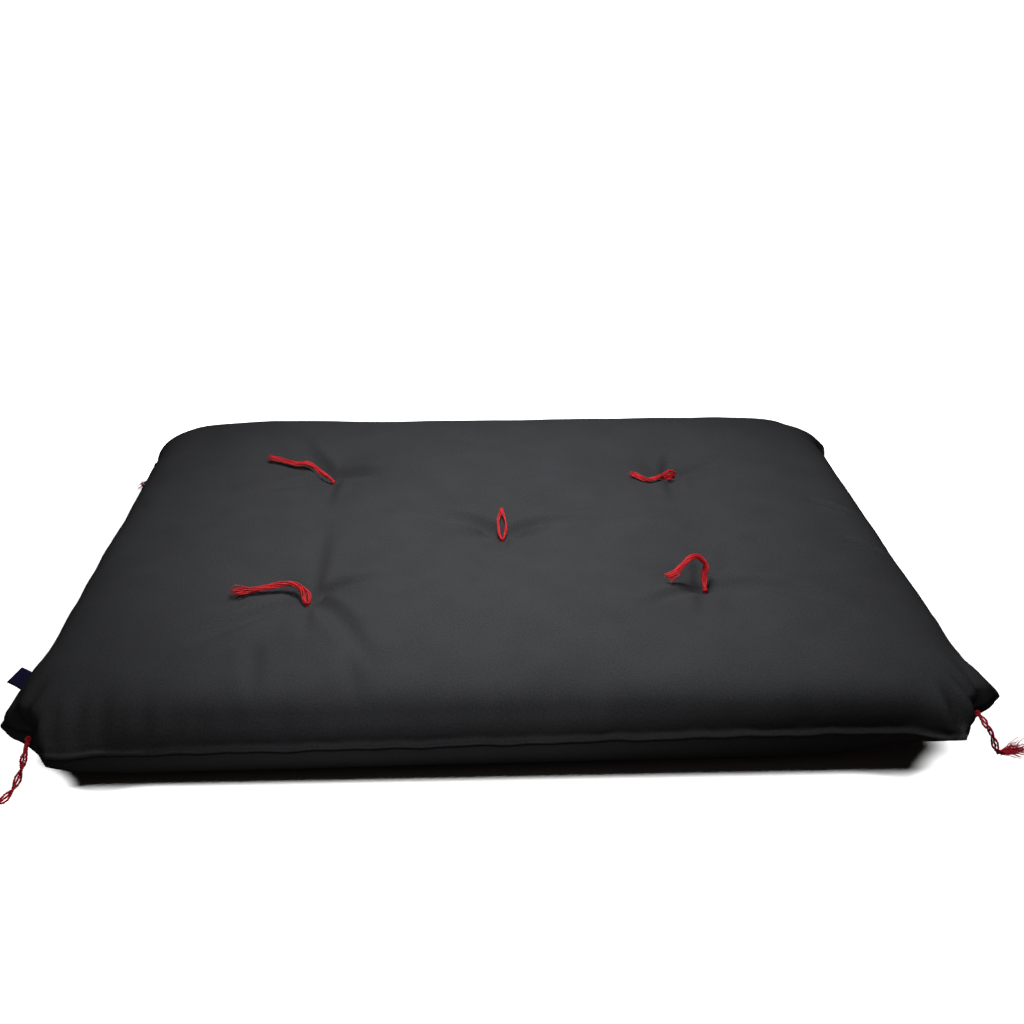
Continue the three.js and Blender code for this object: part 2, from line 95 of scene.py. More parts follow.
LONG_EAR_OUT = 2.0
LONG_EAR_LIFT = {"left": 8.0, "right": 0.0}
SHORT_EAR_FROM_CORNER = 54.0
SHORT_EAR_OUT = {"left": 4.0, "right": -1.0}
SHORT_EAR_LIFT = {"left": 4.0, "right": 11.0}
EAR_SPREAD = 26.0
CORNER_LIFT = 7.0
CORNER_LIFT_SPREAD = 25.0

# The underside near a corner hangs no further below the seam than this: by the distance from the corner
# along the long or the short side, and more inwards from the edge
LIP_AT = (0.0, 25.0, 40.0, 48.0, 62.0, 74.0, 100.0, 130.0, 200.0, 320.0)
LONG_LIP = {
    "left": (2.0, 0.8, 2.0, 12.0, 12.5, 13.0, 15.0, 20.0, 34.0, 60.0),
    "right": (1.0, 0.8, 1.0, 2.0, 3.0, 5.0, 10.0, 15.0, 24.0, 60.0),
}
SHORT_LIP = {
    "left": (3.0, 5.5, 6.5, 6.0, 6.5, 8.5, 14.0, 20.0, 36.0, 60.0),
    "right": (1.0, 3.0, 5.0, 6.0, 6.5, 8.0, 12.0, 18.0, 36.0, 60.0),
}
LIP_SLOPE = 0.5
LIP_SLOPE_FROM = 160.0  # from the corner, where the slope is full
LIP_BLEND = 4.0
UNDER_STAND_REACH = {"short": 160.0, "long": 90.0}
UNDER_LEAN = 5.0  # the underside turns in this much sooner at the right end, later at the left
UNDER_LEAN_REACH = 28.0

# Across an edge of the cloth: along it from the seam, inwards from the seam, and the share of the rise
# reached
TOP_PROFILE = {
    "along": (0, 0.8, 1.7, 3.0, 4.6, 8.0, 12.0, 20.0, 32.0, 48.0, 70.0, 110.0, 160.0, 450.0),
    "inset": (0, 0.2, 1.1, 4.5, 5.6, 5.2, 5.2, 8.0, 16.5, 31.5, 55.5, 100.0, 158.0, 450.0),
    "share": (0, 0.015, 0.024, 0.036, 0.085, 0.18, 0.29, 0.49, 0.69, 0.835, 0.925, 0.975, 1.0, 1.0),
}
UNDER_PROFILE = {
    "along": (0, 0.8, 1.8, 3.2, 5.0, 14.0, 24.0, 34.0, 45.0, 75.0, 140.0, 450.0),
    "inset": (0, 0.2, 1.2, 2.6, 3.2, 5.5, 10.5, 17.5, 26.0, 53.0, 127.0, 450.0),
    "share": (0, 0.02, 0.035, 0.055, 0.11, 0.4, 0.66, 0.85, 0.95, 1.0, 1.0, 1.0),
}

TUFT_ROOTS = {
    "front_left": (-198.0, -133.0),
    "front_right": (209.0, -126.0),
    "centre": (4.0, 2.0),
    "back_left": (-201.0, 160.0),
    "back_right": (214.0, 153.0),
}
DISH_DEPTH = 12.0
DISH_SPREAD = 75.0
FUNNEL_DEPTH = 12.0
FUNNEL_SPREAD = 24.0
FUNNEL_POWER = 1.5
VALLEYS = (
    ("front_left", "back_left", 4.0),
    ("front_right", "back_right", 3.0),
    ("front_left", "centre", 3.0),
    ("centre", "front_right", 3.0),
    ("centre", "back_left", 4.0),
    ("centre", "back_right", 4.0),
)
VALLEY_WIDTH = 34.0

# Creases, as arcs on the flat cloth in millimetres and degrees. From each tuft: which way the crease heads
# from +X, its length, how far it turns over that length, its depth and its half width
TUFT_CREASES = {
    "front_left": (
        (20, 97, -22, 6.0, 6.0),
        (-60, 193, -6, 5.0, 7.5),
        (-90, 130, 15, 3.0, 6.0),
        (-120, 162, -25, 6.5, 7.0),
        (88, 150, 0, 3.6, 8.0),
    ),
    "back_left": (
        (0, 71, -25, 6.5, 8.0),
        (-90, 134, 3, 4.0, 7.0),
        (-124, 115, -25, 4.5, 7.0),
        (140, 96, -35, 7.0, 8.0),
    ),
    "centre": (
        (145, 116, 38, 6.5, 7.5),
        (-150, 97, -30, 3.5, 6.0),
        (30, 126, -90, 5.5, 6.5),
        (-25, 63, 0, 3.0, 6.0),
        (-90, 88, 0, 4.5, 5.0),
    ),
    "front_right": (
        (-20, 183, -40, 4.2, 7.5),
        (-97, 114, -12, 3.0, 6.0),
        (-130, 117, -16, 3.5, 6.0),
        (85, 67, 0, 3.5, 6.0),
    ),
    "back_right": (
        (2, 87, -8, 5.0, 6.0),
        (-88, 129, -18, 3.5, 7.0),
        (70, 52, 20, 4.0, 6.5),
    ),
}
# The same for creases and folds that begin elsewhere: first the x and y of their start
OTHER_CREASES = (
    (-234, -236, -82, 96, 0, 2.3, 6.6),
    (-148, -254, -78, 82, 0, 2.3, 6.6),
    (352, 40, -35, 63, 0, 3.8, 3.7),
    (366, -62, -32, 57, 0, 4.6, 3.7),
    (446, -346, 128, 103, -24, 4.0, 4.6),
    (446, -346, 155, 87, -55, 4.6, 4.1),
    (404, -348, 122, 52, -15, 8.0, 4.6),
    (-446, -346, 62, 83, 25, 3.4, 4.6),
    (-446, -346, 38, 96, 40, 3.2, 4.6),
    (-446, -346, 16, 90, 46, 2.6, 4.6),
    (-392, -349, 90, 49, 0, 1.8, 5.6),
    (-375, -349, 82, 54, 0, 1.9, 5.8),
    (-355, -349, 80, 55, 0, 1.8, 6.2),
    (-320, -349, 80, 55, 0, 1.6, 6.6),
)
CREASE_START = 0.45  # of its depth that a crease has at its start
CREASE_GROWS = 0.2  # of its length over which it reaches its depth
CREASE_FADES = 0.35  # of its length from which it fades
CREASE_STEP = 4.0
CREASE_SIDES = 0.6  # of its depth that the cloth stands up beside a crease
CREASE_SIDE_AT = 2.1  # half widths from its middle
CREASE_SIDE_SPREAD = 1.3  # half widths
RELIEF_EDGE = 9.0  # from the seam, where the small forms are full
PUCKERS = {
    "height": 0.5,  # at the front
    "elsewhere": 0.04,
    "reach": 50.0,
    "waves": (24.0, 33.0, 49.0, 78.0),
    "swell": 0.3,  # of their height, by which they come and go
    "swell_reach": 53.0,
}
UNDULATION = {"height": 0.3, "waves": (55.0, 70.0, 90.0, 120.0, 160.0), "directions": 4}
GRAIN = {"height": 0.04, "waves": (13.0, 17.0, 22.0, 29.0), "directions": 4}
SEAM_WANDER = {"height": 0.4, "waves": (38.0, 64.0, 110.0), "reach": 12.0}
PHASES = 6.28  # a full turn, nearly
RELIEF_SEED = 5

# Grid of the cloth: close lines across the seam, even ones between
SEAM_LINES = (0, 0.4, 0.8, 1.2, 1.7, 2.3, 3.0, 3.8, 4.6, 5.6, 6.8, 8.2, 10.0, 12.5, 15.5, 19.0, 23.0, 27.5)
GRID_STEP = 4.4

# Yarn: two plies twisted together
YARN_RADIUS = 0.62
PLY_RADIUS = 0.36
PLY_OFFSET = 0.3
PLY_PITCH = 5.0
PLY_SIDES = 5
YARN_STEP = 1.0
YARN_TURN = 6.0  # radians up to which a yarn's plies are turned at random
FLOOR_GAP = 0.4
NEARLY_UPRIGHT = 0.1  # the sine of a line's angle from upright
FIRST_TUFT_SEED = 1
FIRST_TASSEL_SEED = 11
GOLDEN_ANGLE = 2.4  # radians between the threads of a bundle, as seen along it

# Loose fibres at each cut end
FIBRES = 5
FIBRE_RADIUS = 0.13
FIBRE_SIDES = 3
FIBRE_LENGTH = 3.5
FIBRE_SHORTEST = 0.4  # of the length
FIBRE_START = 0.8  # before the cut end
FIBRE_SPREAD = 0.35  # of the length
FIBRE_BEND = 0.2
FIBRE_STEP = 0.8

# Tufts: places on the cloth that each bundle passes, with its height above it, then its threads. An eye is
# where the threads part to two sides: from and to along the bundle, and half its gap. A stray is how far
# the first thread stands off at its end
TUFTS = {
    "front_left": {
        "route": (
            (-200, -127, 8), (-207, -123, 10), (-215, -124, 10.5), (-224, -130, 9), (-234, -138, 6.5),
            (-247, -146, 5.5), (-256, -152, 5.5), (-266, -160, 5.5),
        ),
        "threads": 11, "width": 3.6, "height": 2.4, "fan": 1.9, "twist": 2.0,
        "eye": (0.0, 0.24, 3.2), "stray": 9.0,
    },
    "front_right": {
        "route": (
            (209, -121, 8.5), (209, -116, 13), (211, -112, 19), (208, -111, 26), (201, -111, 28),
            (193, -116, 26), (185, -123, 20), (177, -131, 12), (167, -140, 6),
        ),
        "threads": 13, "width": 3.1, "height": 2.3, "fan": 2.2, "twist": 2.6,
    },
    "back_left": {
        "route": (
            (-205, 161, 8.5), (-210, 161, 10), (-219, 163, 10), (-231, 162, 8), (-243, 162, 6),
            (-255, 164, 5.5), (-267, 167, 5.5), (-278, 169, 5.5),
        ),
        "threads": 10, "width": 3.7, "height": 2.3, "fan": 1.6, "twist": 1.6,
    },
    "back_right": {
        "route": (
            (218, 151, 5), (219.5, 147, 9.8), (212.5, 141, 12), (204.5, 131, 7.5), (197, 118, 5),
            (190, 109, 4.5), (183, 107.5, 4.2), (176.5, 114, 4.2), (170, 121, 4.5), (162, 126, 5),
        ),
        "threads": 9, "width": 2.7, "height": 2.0, "fan": 1.6, "twist": 1.4,
        "eye": (0.1, 0.52, 3.2),
    },
    "centre": {
        "route": (
            (4, 5, 6), (4, 10, 6.5), (4, 16, 6), (4, 22, 5), (4, 28, 4.5), (4, 34, 4.5), (4, 40, 4.5),
        ),
        "threads": 6, "width": 1.4, "height": 1.3, "fan": 1.3, "twist": 0.8,
        "eye": (0.0, 0.96, 4.4),
    },
}
UPRIGHT_EYES = ("back_right",)  # the tufts whose threads part upwards and downwards
ROOT_SPREAD = 0.35  # of a bundle's width, where it comes out of the cloth
ROOT_BELOW = 1.5

# Shares of a bundle's length
ROOT_TURNS = 0.12  # up to which it keeps to one side direction
SPREADS_OVER = 0.25  # over which it gets its full width
FANS_FROM = 0.6
LIES_FROM = 0.1  # from which its threads stay above the cloth
STRAY_FROM = 0.72
SHORTEST_THREAD = 0.95

FAN_UP = 1.1  # of its height that a bundle fans out to at most
WANDER_GROWTH = 4.0  # a thread wanders fully from one in this many parts of its length
THREAD_WANDER = {"side": {"size": 0.35, "reach": 45}, "up": {"size": 0.2, "reach": 40}}
WRAP_TURNS = 2.2  # of the thread that ties a bundle at its root
WRAP_RADIUS = 2.1
WRAP_AT = 4.0  # above the cloth
WRAP_BELOW = 1.2  # how far below that it begins
WRAP_RISE = 0.9  # in each turn
WRAP_POINTS = 40

# Tassels: a loose braid along its route, with a knot at the corner and a frayed end on the floor
KNOT_RADIUS = 4.0
CORNER_SEAT = 1.0
TASSELS = {
    "front_left": {
        "corner": (-1, -1),
        "route": (
            (-422, -333, 29), (-424, -338, 20), (-427, -343, 12), (-430, -349, 6.5),
            (-434, -357, 4), (-440, -369, 3.5), (-446, -383, 3.5), (-451, -398, 3.5),
        ),
        "width": 2.0, "pitch": 54.0, "spread": 0.6,
    },
    "front_right": {
        "corner": (1, -1),
        "route": (
            (429, -327, 40), (435, -328, 31), (439, -326, 22), (443, -324, 13), (447, -321, 7),
            (453, -318, 4), (462, -316, 3.5),
        ),
        "width": 2.8, "pitch": 58.0, "spread": 0.55,
    },
    "back_left": {
        "corner": (-1, 1),
        "route": (
            (-430, 330, 32), (-440, 332, 24), (-449, 329, 15), (-457, 323, 8.5), (-463, 316, 4.5),
            (-467, 311, 3.5),
        ),
        "width": 2.6, "pitch": 34.0, "spread": 0.7,
    },
    "back_right": {
        "corner": (1, 1),
        "route": (
            (425, 334, 35), (427, 342, 25), (429, 350, 15), (430, 358, 8.5), (431, 366, 4.8),
            (432, 376, 3.5), (431, 388, 3.5),
        ),
        "width": 2.6, "pitch": 34.0, "spread": 0.7,
    },
}
BRAID_HEIGHT = 1.7
BRAID_START = 0.4  # of its width, at the knot
BRAID_GROWTH = 5.0  # a braid has its full width from one in this many parts of its length
BRAID_WANDER = {"size": 0.3, "reach": 50}
PLAITS = 3
PLAIT_YARNS = 3
PLAIT_PITCH = 14.0
KNOT_RINGS = 3
KNOT_RING_SHARE = 0.62  # of the knot's radius
KNOT_POINTS = 14
FRAY_LENGTH = 22.0
FRAY_REACH = (0.5, 1.1)  # of that, the shortest and the longest fibre
FRAY_FIBRES = 90
FRAY_THICKNESS = 2.2  # fibre radii
FRAY_SPREAD = 11.0
FRAY_LEAN = 0.5
FRAY_BEND = 1.2
FRAY_HEIGHT = 3.5  # of the starts above the braid's lowest yarn
FRAY_LIFT = 8.0  # of the highest tips above the floor
FRAY_LIFT_POWER = 3
FRAY_CLEAR = 3  # fibre radii between the lowest tips and the floor
FRAY_START = 12.0  # before the end of the braid
FRAY_STEP = 1.5

# Label: a tape folded once, with its ends in the left seam
LABEL_LENGTH = 29.0
LABEL_PROUD = 26.0
LABEL_TILT = 35.0  # degrees up from level
LABEL_SKEW = 9.0  # degrees turned in its own plane, its front end further out
LABEL_Y = -234.0
LABEL_BOW = 1.5
LABEL_GAP = 0.9  # between its two layers
LABEL_POINTS = {"out": 13, "along": 10}
LABEL_FOLD = (0.6, 1.2, 1.8, 2.5)  # radians round the fold, of its points
TAPE_THICKNESS = 0.4

# Looks. Pitches, sizes and depths are in millimetres, and a turn is in degrees from the long side
CLOTH = {
    "colour": (0.039, 0.0399, 0.0431),
    "tones": {"dark": 0.86, "light": 1.16, "places": (0.4, 0.6)},
    "slow": {"size": 45.0, "detail": 3, "share": 0.25},
    "speckle": {"size": 1.7, "detail": 3, "share": 0.75},
    "ribs": {"pitch": 1.1, "turn": 62.0, "distortion": 1.5},
    "yarns": {"size": 0.9, "detail": 2, "share": 0.8, "stretch": (0.35, 1.0, 1.0)},
    "roughness": 0.9,
    "specular": 0.2,
    "depth": 0.1,
}
THREAD = {
    "tones": {"dark": 0.5, "places": (0.35, 0.65)},
    "speckle": {"size": 0.8, "detail": 2},
    "fibres": {"size": 0.35, "detail": 2},
    "depth": 0.12,
    "roughness": 0.5,
    "specular": 0.4,
}
TUFT_COLOUR = (0.85, 0.012, 0.022)
TASSEL_COLOUR = (0.7, 0.012, 0.035)
TAPE = {
    "colour": (0.0035, 0.0035, 0.017),
    "tones": {"light": 5, "places": (0.4, 0.9)},
    "weft": {"pitch": 1.9, "turn": 35, "distortion": 0.3},
    "warp": {"pitch": 0.6, "turn": 90, "distortion": 0.3},
    "roughness": 0.8,
    "specular": 0.1,
    "depth": 0.12,
}
WAVE_PITCH = math.pi / 10  # between the bands of a wave texture whose scale is 1

# Studio, in metres and watts
FLOOR_REACH = 8.0
FLOOR_UNDER = 0.0003  # the floor is this far below the mat, so that the two don't share a plane
FLOOR_WHITE = {"colour": (0.9, 0.9, 0.9), "roughness": 0.8, "specular": 0.1}
FLOOR_LIGHT = 5.2
FLOOR_LIGHT_SIZE = 18.0  # degrees across
FLOOR_LIGHT_ELEVATION = 48.0
FLOOR_LIGHT_SIDE = 85.7  # degrees to each side of the back
SPOTS = {
    "top_light": {
        "place": (0.02, 0.04, 0.76), "target": (0.02, 0.04, 0.0), "cone": 95.0, "blend": 0.62,
        "radius": 0.19, "power": 24.5,
    },
    "front_light": {
        "place": (-0.06, -1.35, 1.45), "target": (-0.07, -0.3, 0.06), "cone": 23.5, "blend": 1.0,
        "radius": 0.12, "power": 40.0,
    },
    "seam_light": {
        "place": (0.36, -0.62, 2.0), "target": (0.3, -0.38, 0.04), "cone": 15.0, "blend": 1.0,
        "radius": 0.06, "power": 34.0,
    },
}
FILL = {"place": (-0.25, -2.2, 1.1), "target": (0.0, -0.3, 0.05), "size": (1.6, 0.8), "power": 2.8}
THREAD_LIGHT = {
    "place": (0.35, -1.1, 1.3), "target": (0.1, -0.25, 0.0), "size": (1.4, 0.5), "power": 13.0,
}
BACKDROP = 1.1  # strength of the white past the floor
AMBIENT = 0.012
AMBIENT_COLOUR = (1.0, 0.8, 0.7)


# The mat's surface

def smooth(t):
    t = np.clip(t, 0, 1)
    return t * t * (3 - 2 * t)


def bell(distance, spread):
    return np.exp(-((distance / spread) ** 2))


def from_edges(u, v):
    """How far places of the flat cloth are from its short and long sides."""
    return HALF_LENGTH - np.abs(u), HALF_DEPTH - np.abs(v)


def by_end(values, u):
    """The value for the end of the mat that each place is at."""
    return np.where(u > 0, values["right"], values["left"])


def between(start, end, leave, arrive, t):
    """A smooth curve from start to end, with the slopes at which it leaves and arrives."""
    place = start * (1 + 2 * t) * (1 - t) ** 2 + end * t * t * (3 - 2 * t)
    return place + (leave * t * (1 - t) ** 2 + arrive * t * t * (t - 1))


def smooth_curve(xs, ys):
    """A function through the given points that is smooth and doesn't overshoot them."""
    xs = np.asarray(xs, float)
    ys = np.asarray(ys, float)
    step = np.diff(xs)
    slope = np.diff(ys) / step
    before = slope[:-1]
    after = slope[1:]
    product = before * after
    total = np.where(product > 0, before + after, 1)
    inner = np.where(product > 0, 2 * product / total, 0)
    tangent = np.concatenate([slope[:1], inner, slope[-1:]])

    def value(x):
        i = np.clip(np.searchsorted(xs, x) - 1, 0, len(step) - 1)
        t = np.clip((x - xs[i]) / step[i], 0, 1)
        return between(ys[i], ys[i + 1], step[i] * tangent[i], step[i] * tangent[i + 1], t)

    return value


def profile_curves(profile):
    return {name: smooth_curve(profile["along"], profile[name]) for name in ("inset", "share")}


TOP = profile_curves(TOP_PROFILE)
UNDER = profile_curves(UNDER_PROFILE)


def distance_to_line(x, y, start, end):
    dx = end[0] - start[0]
    dy = end[1] - start[1]
    t = np.clip(((x - start[0]) * dx + (y - start[1]) * dy) / (dx * dx + dy * dy), 0, 1)
    return np.hypot(x - start[0] - t * dx, y - start[1] - t * dy)


def pulled_down(x, y):
    """How far the tufts and the valleys between them pull the crown down."""
    depth = np.zeros_like(x)
    for root_x, root_y in TUFT_ROOTS.values():
        r = np.hypot(x - root_x, y - root_y)
        depth += DISH_DEPTH * bell(r, DISH_SPREAD)
        depth += FUNNEL_DEPTH * np.exp(-((r / FUNNEL_SPREAD) ** FUNNEL_POWER))
    valley = np.zeros_like(x)
    for start, end, valley_depth in VALLEYS:
        r = distance_to_line(x, y, TUFT_ROOTS[start], TUFT_ROOTS[end])
        valley = np.maximum(valley, valley_depth * bell(r, VALLEY_WIDTH))
    return depth + valley


def in_plan(u, v, curves, stands_short, stands_long):
    """Where places of the flat cut cloth end up in plan, on either face of the mat."""
    p, q = from_edges(u, v)
    from_corner = np.hypot(p, q)
    draw_short = smooth((q - DRAW_IN_START) / DRAW_IN_REACH["short"]) * by_end(DRAW_IN, u)
    draw_long = smooth((p - DRAW_IN_START) / DRAW_IN_REACH["long"]) * DRAW_IN_LONG
    to_ear = np.minimum(from_corner / by_end(TUCK_REACH, u), 1)
    tuck = (1 - to_ear) ** TUCK_POWER
    towards_ear = np.sin(math.pi * to_ear)
    mouth = MOUTH_DEPTH * towards_ear * bell(np.minimum(p, q), MOUTH_WIDTH)
    short_ear = by_end(SHORT_EAR_OUT, u) * bell(np.hypot(q - SHORT_EAR_FROM_CORNER, p), EAR_SPREAD)
    long_ear = LONG_EAR_OUT * bell(np.hypot(p - LONG_EAR_FROM_CORNER, q), EAR_SPREAD)
    inset_x = p + (curves["inset"](p) - p) * stands_short
    inset_x += draw_short * np.exp(-p / DRAW_IN_FADE) + tuck * TUCK["x"] + mouth - short_ear
    inset_y = q + (curves["inset"](q) - q) * stands_long
    inset_y += draw_long * np.exp(-q / DRAW_IN_FADE) + tuck * TUCK["y"] + mouth - long_ear
    full_x = TIP_FULLNESS * p * np.exp(-p / TIP_FADE) * (1 - stands_short)
    full_y = TIP_FULLNESS * q * np.exp(-q / TIP_FADE) * (1 - stands_long)
    return {
        "x": np.sign(u) * (HALF_LENGTH - inset_x),
        "y": np.sign(v) * (HALF_DEPTH - inset_y),
        "share_x": curves["share"](p) + full_x,
        "share_y": curves["share"](q) + full_y,
    }


def seam_height(u, v):
    p, q = from_edges(u, v)
    long_ear = by_end(LONG_EAR_LIFT, u) * bell(np.hypot(p - LONG_EAR_FROM_CORNER, q), EAR_SPREAD)
    short_ear = by_end(SHORT_EAR_LIFT, u) * bell(np.hypot(q - SHORT_EAR_FROM_CORNER, p), EAR_SPREAD)
    corner = CORNER_LIFT * bell(np.hypot(p, q), CORNER_LIFT_SPREAD)
    bow = SEAM_BOW * bell(u - SEAM_BOW_AT, SEAM_BOW_SPREAD) * smooth(-v / HALF_DEPTH)
    rng = np.random.default_rng(RELIEF_SEED)
    waver = SEAM_WANDER["height"] * waves_along(np.where(p < q, v, u), SEAM_WANDER["waves"], rng)
    past_ears = smooth((np.maximum(p, q) - EAR_SPREAD) / EAR_SPREAD)
    waver *= past_ears * bell(np.minimum(p, q), SEAM_WANDER["reach"])
    return SEAM_HEIGHT + SEAM_LEAN * (u / HALF_LENGTH) + bow + long_ear + short_ear + corner + waver


def top_surface(u, v):
    p, q = from_edges(u, v)
    stands_short = smooth((q - by_end(STAND_FROM, u)) / STAND_REACH)
    reach = np.where((u < 0) & (v < 0), FRONT_LEFT_STAND_REACH, STAND_REACH)
    stands_long = smooth(p / reach)
    place = in_plan(u, v, TOP, stands_short, stands_long)
    begin, full, end = SHOULDER_EASE_AT
    ease = smooth((q - begin) / (full - begin)) * (1 - smooth((q - full) / (end - full))) * stands_long
    fade = 1 - smooth((u - SHOULDER_EASE_TO[0]) / (SHOULDER_EASE_TO[1] - SHOULDER_EASE_TO[0]))
    place["y"] += np.where(v < 0, SHOULDER_EASE * ease * fade, 0)
    low = np.minimum(place["share_x"], place["share_y"])
    high = np.maximum(place["share_x"], place["share_y"])
    at_back = smooth(v / HALF_DEPTH)
    share = low * high ** (by_end(CORNER_ROUNDING, u) + by_end(BACK_ROUNDING, u) * at_back)
    rise = CROWN_RISE + CROWN_LEAN * (v / HALF_DEPTH - u / HALF_LENGTH) + BACK_LIFT * at_back
    rise += BACK_LEFT_LIFT * bell(np.hypot(u - BACK_LEFT_AT[0], v - BACK_LEFT_AT[1]), BACK_LEFT_SPREAD)
    pull = pulled_down(place["x"], place["y"]) * smooth(share / PULL_FULL_AT)
    z = seam_height(u, v) + rise * share - pull
    return np.stack([place["x"], place["y"], z], axis=-1)


def smooth_min(a, b, blend):
    near = np.maximum(blend - np.abs(a - b), 0) / blend
    return np.minimum(a, b) - near * near * blend / 4


def lip(u, v):
    """How far the underside may hang below the seam near a corner."""
    p, q = from_edges(u, v)
    long_lip = by_end({end: np.interp(p, LIP_AT, row) for end, row in LONG_LIP.items()}, u)
    short_lip = by_end({end: np.interp(q, LIP_AT, row) for end, row in SHORT_LIP.items()}, u)
    towards_short = smooth(q / np.maximum(p + q, 1))
    slope = LIP_SLOPE * np.minimum(p, q) * smooth(np.hypot(p, q) / LIP_SLOPE_FROM)
    return long_lip + (short_lip - long_lip) * towards_short + slope


def under_surface(u, v):
    p, q = from_edges(u, v)
    stands_short = smooth(q / UNDER_STAND_REACH["short"])
    stands_long = smooth(p / UNDER_STAND_REACH["long"])
    place = in_plan(u, v, UNDER, stands_short, stands_long)
    lean = UNDER_LEAN * u / HALF_LENGTH
    x = place["x"] - np.sign(u) * lean * smooth(p / UNDER_LEAN_REACH) * stands_short
    y = place["y"] - np.sign(v) * lean * smooth(q / UNDER_LEAN_REACH) * stands_long
    seam = seam_height(u, v)
    fall = seam * np.minimum(place["share_x"], place["share_y"])
    return np.stack([x, y, seam - smooth_min(fall, lip(u, v), LIP_BLEND)], axis=-1)


def grid_lines(half):
    edge = SEAM_LINES[-1]
    count = round(2 * (half - edge) / GRID_STEP)
    inner = np.linspace(-half + edge, half - edge, count + 1)
    outer = np.array(SEAM_LINES[:-1], float)
    return np.concatenate([-half + outer, inner, (half - outer)[::-1]])


def grid_normals(points):
    across = np.gradient(points, axis=1)
    along = np.gradient(points, axis=0)
    normals = np.cross(across, along)
    return normals / np.linalg.norm(normals, axis=-1, keepdims=True)


# Lines through space

def length_along(line):
    return np.concatenate([[0], np.cumsum(np.linalg.norm(np.diff(line, axis=0), axis=1))])


def resampled(line, step):
    line = np.asarray(line, float)
    run = length_along(line)
    count = max(int(round(run[-1] / step)), 2)
    even = np.linspace(0, run[-1], count + 1)
    return np.stack([np.interp(even, run, line[:, k]) for k in range(3)], axis=1)


def rounded(points, step):
    """Evenly spaced points on a smooth curve through the given ones."""
    points = np.asarray(points, float)
    run = length_along(points)
    tangent = np.gradient(points, run, axis=0)
    fine = np.linspace(0, run[-1], max(int(run[-1] / step), 2) + 1)
    i = np.clip(np.searchsorted(run, fine) - 1, 0, len(run) - 2)
    size = (run[i + 1] - run[i])[:, None]
    t = (fine[:, None] - run[i][:, None]) / size
    curve = between(points[i], points[i + 1], size * tangent[i], size * tangent[i + 1], t)
    return resampled(curve, step)


# Small forms of the cloth

def waves_along(run, lengths, rng):
    total = np.zeros_like(run)
    for length in lengths:
        total += np.sin(2 * math.pi * run / length + rng.uniform(0, 2 * math.pi))
    return total


def waves_over(u, v, facts, rng):
    """Soft undulation, from plain waves that run in many directions."""
    total = np.zeros_like(u)
    for length in facts["waves"]:
        for _ in range(facts["directions"]):
            way = rng.uniform(0, math.pi)
            run = u * math.cos(way) + v * math.sin(way)
            total += np.sin(2 * math.pi * run / length + rng.uniform(0, PHASES))
    return total * facts["height"] / math.sqrt(len(facts["waves"]) * facts["directions"] / 2)


def arc(x, y, heading, length, bend):
    """Evenly spaced places along an arc."""
    count = int(length / CREASE_STEP)
    way = np.radians(heading + bend * np.arange(count) / count)
    steps = np.stack([np.cos(way), np.sin(way)], axis=1) * length / count
    return np.concatenate([[[x, y]], [x, y] + np.cumsum(steps, axis=0)])


def crease(u, v, line, depth, half_width):
    """The depth of a valley along a line, and how far the cloth stands up beside it."""
    distance = np.full(u.shape, np.inf)
    place = np.zeros(u.shape)
    for i, (x, y) in enumerate(line):
        r = np.hypot(u - x, v - y)
        nearer = r < distance
        distance[nearer] = r[nearer]
        place[nearer] = i / (len(line) - 1)
    fade = 1 - smooth((place - CREASE_FADES) / (1 - CREASE_FADES))
    grown = smooth(place / CREASE_GROWS)
    valley = bell(distance, half_width) * (CREASE_START + (1 - CREASE_START) * grown)
    beside = bell(distance - CREASE_SIDE_AT * half_width, CREASE_SIDE_SPREAD * half_width)
    beside = CREASE_SIDES * beside * grown
    return depth * fade * valley, depth * fade * beside


def creases(u, v):
    """All the creases. Where they meet, the deepest one counts."""
    rows = [(*TUFT_ROOTS[name], *row) for name, group in TUFT_CREASES.items() for row in group]
    valleys = np.zeros_like(u)
    sides = np.zeros_like(u)
    for x, y, heading, length, bend, depth, half_width in rows + list(OTHER_CREASES):
        valley, beside = crease(u, v, arc(x, y, heading, length, bend), depth, half_width)
        valleys = np.maximum(valleys, valley)
        sides = np.maximum(sides, beside)
    return sides * (1 - smooth(valleys)) - valleys


def relief(u, v):
    """How far the cloth stands out from its smooth form."""
    rng = np.random.default_rng(RELIEF_SEED)
    p, q = from_edges(u, v)
    from_edge = np.minimum(p, q)
    along = np.where(p < q, v, u)
    swell = 1 - PUCKERS["swell"] + PUCKERS["swell"] * np.sin(along / PUCKERS["swell_reach"])
    puckers = waves_along(along, PUCKERS["waves"], rng) * swell
    near_seam = 1 - smooth(from_edge / PUCKERS["reach"])
    at_front = smooth(-v / HALF_DEPTH * 2 - 1)  # from half way to the front edge
    tallest = PUCKERS["elsewhere"] + (PUCKERS["height"] - PUCKERS["elsewhere"]) * at_front
    height = tallest * puckers * near_seam
    height += waves_over(u, v, UNDULATION, rng) + waves_over(u, v, GRAIN, rng)
    height += creases(u, v)
    return height * smooth(from_edge / RELIEF_EDGE)


def mesh_object(name, points, faces):
    mesh = bpy.data.meshes.new(name)
    mesh.from_pydata(np.asarray(points) * MM, [], faces)
    mesh.update()
    mesh.shade_smooth()
    made = bpy.data.objects.new(name, mesh)
    bpy.context.scene.collection.objects.link(made)
    return made


def set_cloth(made, flat):
    """Keeps each point's place on the flat cloth, for the weave."""
    places = np.zeros((len(flat), 3))
    places[:, :2] = flat
    attribute = made.data.attributes.new("cloth", "FLOAT_VECTOR", "POINT")
    attribute.data.foreach_set("vector", places.ravel())


